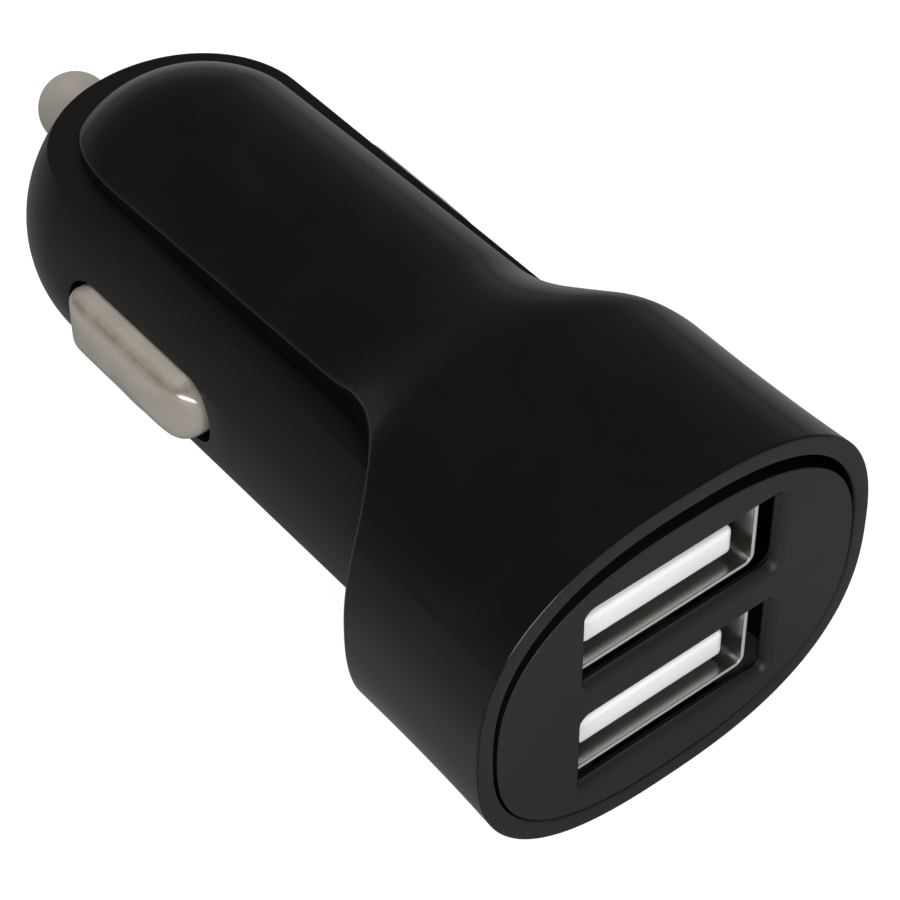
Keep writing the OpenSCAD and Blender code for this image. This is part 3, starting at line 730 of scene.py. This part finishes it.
def make_plate(satin, gap_shade_black):
    """Face plate: flat front, soft lips round the sockets, crisp rim, skirt behind."""
    hold = 0.02
    r = PLATE_EDGE_R
    outer = [oval_loop(PLATE_A - r - hold, PLATE_B - r - hold, 0)]
    for sine, cosine in arc_share(3):
        outer.append(oval_loop(PLATE_A - r + r * sine, PLATE_B - r + r * sine, r - r * cosine))
    outer += [oval_loop(PLATE_A, PLATE_B, PLATE_T), oval_loop(SKIRT_A, SKIRT_B, PLATE_T)]
    outer += [oval_loop(SKIRT_A, SKIRT_B, SKIRT_END_Y)]
    outer += [oval_loop(SKIRT_A - SKIRT_T, SKIRT_B - SKIRT_T, y) for y in (SKIRT_END_Y, PLATE_T)]
    points, faces = closed_loops(outer)
    for middle_z in map(socket_middle, ("upper", "lower")):
        hole = [opening_loop(middle_z, OPENING_ROUND_R + hold, 0)]
        for sine, cosine in arc_share(10):
            margin = OPENING_ROUND_R * (1 - sine)
            hole.append(opening_loop(middle_z, margin, OPENING_ROUND_R * (1 - cosine)))
        undercut_y = OPENING_ROUND_R + 0.1
        hole.append(opening_loop(middle_z, 0, undercut_y))
        hole.append(opening_loop(middle_z, OPENING_UNDERCUT, undercut_y + 0.15))
        hole.append(opening_loop(middle_z, OPENING_UNDERCUT, PLATE_T))
        hole_points, hole_faces = closed_loops(hole)
        faces += [tuple(len(points) + i for i in face) for face in hole_faces]
        points += hole_points
    plate = mesh_object("plate_front", points, faces, flats=(0, PLATE_T))
    paint(plate, satin, gap_shade_black)
    # The plate's sides and the skirt behind its rim take the deep gloss black as painted shade in the
    # gap between rim and plate.
    for polygon in plate.data.polygons:
        place = polygon.center / MM
        outside = max(abs(place.x), abs(place.z + PLATE_SAG)) > PLATE_FACE_HALF
        if outside and place.y > PLATE_EDGE_R:
            polygon.material_index = 1
    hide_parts("face_plate")
    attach(plate, "housing")


def socket_middle(place):
    """Height of the middle of the upper or the lower socket."""
    return (SOCKET_PITCH if place == "upper" else -SOCKET_PITCH) / 2 - PLATE_SAG


def make_white(place, material):
    """White tongue of a socket, rounded at its front, with the block behind it."""
    middle = socket_middle(place)
    loops = []
    for depth in np.linspace(0, WHITE_CORNER_R, 11):
        trims = []
        for r in (WHITE_CORNER_R, WHITE_EDGE_R):
            short = max(r - depth, 0)
            trims.append(r - math.sqrt(r * r - short * short))
        loops.append(rounded_loop(
            WHITE_W - 2 * trims[0], WHITE_T - 2 * trims[1], WHITE_EDGE_R - 0.8 * trims[1],
            0, middle - WHITE_DROP, WHITE_FRONT_Y + depth))
    block_y = SOCKET_END_Y - SOCKET_BLOCK_LEN
    loops.append(rounded_loop(
        WHITE_W, WHITE_T, WHITE_EDGE_R, 0, middle - WHITE_DROP, block_y))
    for y in (block_y, SOCKET_END_Y):
        loops.append(rounded_loop(
            SOCKET_BLOCK_W, SOCKET_BLOCK_H, WHITE_EDGE_R, 0, middle, y))
    white = mesh_object("white_" + place, *closed_loops(loops, close_start=True, close_end=True))
    paint(white, material)
    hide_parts("usb_insulator_" + place)
    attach(white, "housing")


def corner(radius, place, r, start, end, steps=6):
    """A rounded corner of a turned outline, about a middle at a radius and a place."""
    turn = np.radians(np.linspace(start, end, steps + 1))
    return [(radius + r * math.cos(t), place + r * math.sin(t)) for t in turn]


def turned(name, outline, steps=96):
    """A piece turned about the Y axis from its outline, given as radius and place."""
    turn = np.linspace(0, 2 * math.pi, steps, endpoint=False)
    loops = [[(r * math.cos(t), y, r * math.sin(t)) for t in turn] for r, y in outline]
    return mesh_object(name, *closed_loops(loops))


def make_tip(material):
    flange_end = TIP_FLANGE_Y + TIP_FLANGE_T
    pin_r = 0.2
    edge_r = 0.1
    outline = [(0, TIP_PIN_Y)]
    outline += corner(TIP_PIN_R - pin_r, TIP_PIN_Y + pin_r, pin_r, -90, 0, 4)
    outline += [(TIP_PIN_R, TIP_FLANGE_Y), (TIP_FLANGE_R - edge_r, TIP_FLANGE_Y)]
    outline += corner(TIP_FLANGE_R - edge_r, TIP_FLANGE_Y + edge_r, edge_r, -90, 0, 3)
    outline += corner(TIP_FLANGE_R - edge_r, flange_end - edge_r, edge_r, 0, 90, 3)
    outline += [(TIP_R, flange_end), (TIP_R, (flange_end + TIP_END_Y - TIP_R) / 2)]
    outline += corner(0, TIP_END_Y - TIP_R, TIP_R, 0, 90, 28)
    tip = turned("tip_pin", outline)
    paint(tip, material)
    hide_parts("tip_contact")
    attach(tip, "tip")


def make_tip_spring(material):
    """Coil with closed ends between the seat and the flange of the tip."""
    sides = 10
    steps = 40 * SPRING_TURNS
    length = TIP_FLANGE_Y - SPRING_SEAT_Y - 2 * SPRING_WIRE_R
    wire = 2 * SPRING_WIRE_R
    loops = []
    for i in range(steps + 1):
        turns = SPRING_TURNS * i / steps
        y = np.interp(
            turns, [0, 1, SPRING_TURNS - 1, SPRING_TURNS], [0, wire, length - wire, length])
        turn = 2 * math.pi * turns
        loop = []
        for k in range(sides):
            around = 2 * math.pi * k / sides
            r = SPRING_R + SPRING_WIRE_R * math.cos(around)
            place = SPRING_SEAT_Y + SPRING_WIRE_R + y + SPRING_WIRE_R * math.sin(around)
            loop.append((r * math.cos(turn), place, r * math.sin(turn)))
        loops.append(loop)
    spring = mesh_object("tip_coil", *closed_loops(loops, close_start=True, close_end=True))
    paint(spring, material)
    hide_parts("tip_spring")
    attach(spring, "housing")
    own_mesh(spring)


def make_leaf_spring(side, sign, material):
    """Bowed leaf between the edge of the board and the flange of a side contact."""
    bend_r = (LEAF_HALF_LEN**2 + LEAF_BOW**2) / (2 * LEAF_BOW)
    loops = []
    for along in np.linspace(-LEAF_HALF_LEN, LEAF_HALF_LEN, 41):
        x = LEAF_X + bend_r - math.sqrt(bend_r**2 - along**2)
        y = SLOT_MID_Y + along
        loops.append([
            (sign * x, y, LEAF_LOW), (sign * (x + LEAF_T), y, LEAF_LOW),
            (sign * (x + LEAF_T), y, LEAF_HIGH), (sign * x, y, LEAF_HIGH)])
    leaf = mesh_object("leaf_" + side, *closed_loops(loops, close_start=True, close_end=True))
    paint(leaf, material)
    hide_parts("side_spring_" + side)
    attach(leaf, "housing")
    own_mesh(leaf)


def button_loop(inset, share, x=None):
    """A loop round a side contact's button, a share of the way in from its outline."""
    half_h = BUTTON_H / 2 - inset
    half_straight = (BUTTON_LEN - BUTTON_H) / 2
    points = []
    turns = np.radians(np.concatenate([np.linspace(-90, 90, 33), np.linspace(90, 270, 33)]))
    runs = np.linspace(-1, 1, 41)[1:-1]
    outline = [(half_straight + half_h * math.cos(t), half_h * math.sin(t), half_straight, 0)
               for t in turns[:33]]
    outline += [(-run * half_straight, half_h, -run * half_straight, 0) for run in runs]
    outline += [(half_h * math.cos(t) - half_straight, half_h * math.sin(t), -half_straight, 0)
                for t in turns[33:]]
    outline += [(run * half_straight, -half_h, run * half_straight, 0) for run in runs]
    for y, z, middle_y, middle_z in outline:
        along = y + (middle_y - y) * share
        high = z + (middle_z - z) * share
        height = x if x is not None else button_top(along, high, inset, half_h * share)
        points.append((height, BUTTON_MID_Y + along, high))
    return points


def button_top(along, high, inset, depth):
    """Height of the button over a point of its outline, depth mm in from the edge."""
    crest_drop = CREST_R - math.sqrt(CREST_R**2 - high**2)
    end_len = BUTTON_FAR_LEN if along > 0 else BUTTON_NEAR_LEN
    past = min(max((abs(along) - BUTTON_LEN / 2) / end_len + 1, 0), 1)
    end_drop = BUTTON_END_DROP * (1 - math.sqrt(1 - past**2)) + BUTTON_TILT * along
    drop = (crest_drop**3 + max(end_drop, 0) ** 3) ** (1 / 3) + min(end_drop, 0)
    short = max(BUTTON_EDGE_R - depth, 0)
    edge_drop = BUTTON_EDGE_R - math.sqrt(BUTTON_EDGE_R**2 - short**2)
    return BUTTON_REACH - inset - drop - edge_drop


def flange_loop(x):
    """A loop round the flange, point for point beside the button's loops."""
    half_straight = (BUTTON_LEN - BUTTON_H) / 2
    end_room = FLANGE_LEN / 2 - half_straight
    points = []
    for _, y, z in button_loop(0, 0, x):
        along = y - BUTTON_MID_Y
        past = abs(along) - half_straight
        if past <= 1e-9:
            points.append((x, y, math.copysign(FLANGE_H / 2, z)))
            continue
        reach = min(end_room / past, FLANGE_H / 2 / max(abs(z), 1e-9))
        away = math.copysign(half_straight + past * reach, along)
        points.append((x, BUTTON_MID_Y + away, z * reach))
    return points


def make_side_contact(side, sign, material):
    """Stamped contact: flange behind the barrel wall and rounded button through the slot."""
    edge = [math.sin(math.radians(a)) for a in (0, 15, 30, 45, 60, 75)]
    half_h = BUTTON_H / 2
    shares = [BUTTON_EDGE_R * (1 - math.cos(math.asin(e))) / half_h for e in edge]
    shares += list(np.linspace(BUTTON_EDGE_R / half_h, 1, 16))
    inner = list(np.linspace(0, 1, 12))
    loops = [button_loop(SHEET, share) for share in reversed(inner)]
    loops += [button_loop(SHEET, 0, FLANGE_X - SHEET), flange_loop(FLANGE_X - SHEET)]
    loops += [flange_loop(FLANGE_X), button_loop(-FOOT_OUT, 0, FLANGE_X)]
    loops += [button_loop(-FOOT_MID_OUT, 0, FLANGE_X + FOOT_MID_UP)]
    loops += [button_loop(0, 0, FLANGE_X + FOOT_UP)]
    loops += [button_loop(0, share) for share in shares]
    loops = [[(sign * x, y, z) for x, y, z in loop] for loop in loops]
    contact = mesh_object("contact_" + side, *closed_loops(loops), angle=50)
    paint(contact, material)
    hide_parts("side_contact_" + side)
    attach(contact, "contact_" + side)


def dress_nodes():
    """Gives every CAD node that stays its material."""
    finishes = {
        "barrel_black": satin_black(),
        "plate_grey": plate_satin(),
        "nickel": metal(
            "nickel_satin", (0.46, 0.42, 0.365), (0.58, 0.535, 0.475), 0.26, polish=0.72),
        "shell_steel": shell_steel(),
        "spring_steel": metal("spring_steel", (0.42, 0.42, 0.42), (0.55, 0.55, 0.55), 0.3),
        "contact_gold": metal("contact_gold", (0.72, 0.52, 0.22), (0.80, 0.62, 0.30), 0.22),
        "copper": metal("copper_wire", (0.60, 0.25, 0.12), (0.70, 0.33, 0.16), 0.35),
        "socket_white": moulded("socket_white", (0.62, 0.62, 0.61), (0.68, 0.68, 0.67), 0.4),
        "board": moulded("board_green", (0.015, 0.08, 0.03), (0.02, 0.11, 0.045), 0.35),
        "ferrite": moulded("ferrite", (0.03, 0.03, 0.03), (0.05, 0.05, 0.05), 0.6),
        "package_black": moulded("package_black", (0.015, 0.015, 0.015), (0.02, 0.02, 0.02), 0.5),
        "ceramic": moulded("ceramic", (0.45, 0.36, 0.25), (0.55, 0.45, 0.32), 0.4),
    }
    for row in frame["record"]["subparts"]:
        node = frame["nodes"][row["node"]]
        if row["material_slot"] in finishes:
            paint(node, finishes[row["material_slot"]])
    soften(frame["nodes"]["barrel_body"], BARREL_EDGE)
    for place in ("upper", "lower"):
        soften(frame["nodes"]["usb_shell_" + place], SHELL_EDGE)
    return finishes


def area_light(name, place_mm, target_mm, size_mm, power, mirrored=True):
    light = bpy.data.lights.new(name, "AREA")
    light.shape = "RECTANGLE"
    light.size = size_mm[0] * MM
    light.size_y = size_mm[1] * MM
    light.energy = power
    obj = bpy.data.objects.new(name, light)
    bpy.context.scene.collection.objects.link(obj)
    place = Vector(place_mm) * MM
    obj.location = place
    obj.rotation_mode = "QUATERNION"
    obj.rotation_quaternion = (Vector(target_mm) * MM - place).to_track_quat("-Z", "Y")
    obj.visible_glossy = mirrored


def make_world():
    """White to the camera; what shines sees a pale horizon under a dark ceiling."""
    world = bpy.data.worlds.new("studio")
    bpy.context.scene.world = world
    s = Surface(world)
    direction = s.add("ShaderNodeTexCoord", output="Generated")
    height = s.add("ShaderNodeSeparateXYZ", {}, {"Vector": direction}, output="Z")
    sky = s.ramp(height, [(0.0, 0.23), (1.0, 0.05), (0.25, 0.12), (0.5, 0.08), (0.75, 0.06)])
    camera = s.add("ShaderNodeLightPath", output="Is Camera Ray")
    glossy = s.add("ShaderNodeLightPath", output="Is Glossy Ray")
    through = s.add("ShaderNodeLightPath", output="Is Transmission Ray")
    plain = s.mix(glossy + through, (WORLD_FILL, WORLD_FILL, WORLD_FILL), sky)
    colour = s.mix(camera, plain, (1, 1, 1))
    background = s.add("ShaderNodeBackground", {}, {"Color": colour})
    s.add("ShaderNodeOutputWorld", {}, {"Surface": background})


def make_floor():
    """White to the camera, and nearly dark to what shines and to its light."""
    mesh = bpy.data.meshes.new("floor")
    z = cad_low.z - FLOOR_GAP * MM
    signs = ((-1, -1), (1, -1), (1, 1), (-1, 1))
    corners = [(x * FLOOR_REACH * MM, y * FLOOR_REACH * MM, z) for x, y in signs]
    mesh.from_pydata(corners, [], [(0, 1, 2, 3)])
    floor = bpy.data.objects.new("floor", mesh)
    bpy.context.scene.collection.objects.link(floor)
    s = new_surface("floor_white")
    camera = s.add("ShaderNodeLightPath", output="Is Camera Ray")
    glossy = s.add("ShaderNodeLightPath", output="Is Glossy Ray")
    through = s.add("ShaderNodeLightPath", output="Is Transmission Ray")
    shown = camera * FLOOR_SHOWN + (glossy + through) * FLOOR_MIRRORED + FLOOR_GLOW
    diffuse = s.add("ShaderNodeBsdfDiffuse", {}, {"Color": rgba((FLOOR_GREY, FLOOR_GREY, FLOOR_GREY))})
    glow = s.add("ShaderNodeEmission", {}, {"Strength": shown})
    both = s.add("ShaderNodeAddShader", {}, {0: diffuse, 1: glow})
    s.add("ShaderNodeOutputMaterial", {}, {"Surface": both})
    mesh.materials.append(s.owner)


def make_camera():
    azimuth = math.radians(CAMERA_AZIMUTH)
    elevation = math.radians(CAMERA_ELEVATION)
    roll = math.radians(CAMERA_ROLL)
    back = Vector((
        math.sin(azimuth) * math.cos(elevation),
        -math.cos(azimuth) * math.cos(elevation),
        math.sin(elevation),
    ))
    right = Vector((math.cos(azimuth), math.sin(azimuth), 0))
    up = back.cross(right)
    across = math.cos(roll) * right + math.sin(roll) * up
    upward = -math.sin(roll) * right + math.cos(roll) * up
    data = bpy.data.cameras.new("photo_camera")
    data.sensor_width = SENSOR_WIDTH
    data.lens = FOCAL_PIXELS * SENSOR_WIDTH / PHOTO_SIZE
    data.clip_start = 0.01
    data.clip_end = 10
    camera = bpy.data.objects.new("photo_camera", data)
    bpy.context.scene.collection.objects.link(camera)
    turn = Matrix((across, upward, back)).transposed().to_4x4()
    camera.matrix_world = Matrix.Translation(CAMERA_TARGET + back * CAMERA_DISTANCE) @ turn
    bpy.context.scene.camera = camera


finishes = dress_nodes()
gloss = gloss_black()
make_cover(gloss, rim_black())
# The cover's gloss black also goes on the face plate's sides as painted shade in the gap round the
# plate.
make_plate(finishes["plate_grey"], gloss)
for place in ("upper", "lower"):
    make_white(place, finishes["socket_white"])
make_tip(finishes["nickel"])
make_tip_spring(finishes["spring_steel"])
nickel = contact_nickel()
for side, sign in {"left": -1, "right": 1}.items():
    make_side_contact(side, sign, nickel)
    make_leaf_spring(side, sign, finishes["spring_steel"])
make_floor()
make_world()
area_light("key", (-150, -190, 200), (0, 20, 0), (150, 110), 0.9, mirrored=False)
area_light("strip", (-155, -200, 95), (0, 20, 0), (300, 70), 0.47)
area_light("top", (40, 120, 240), (0, 25, 0), (160, 160), 0.9, mirrored=False)
make_camera()
bpy.context.scene.view_settings.view_transform = "Standard"
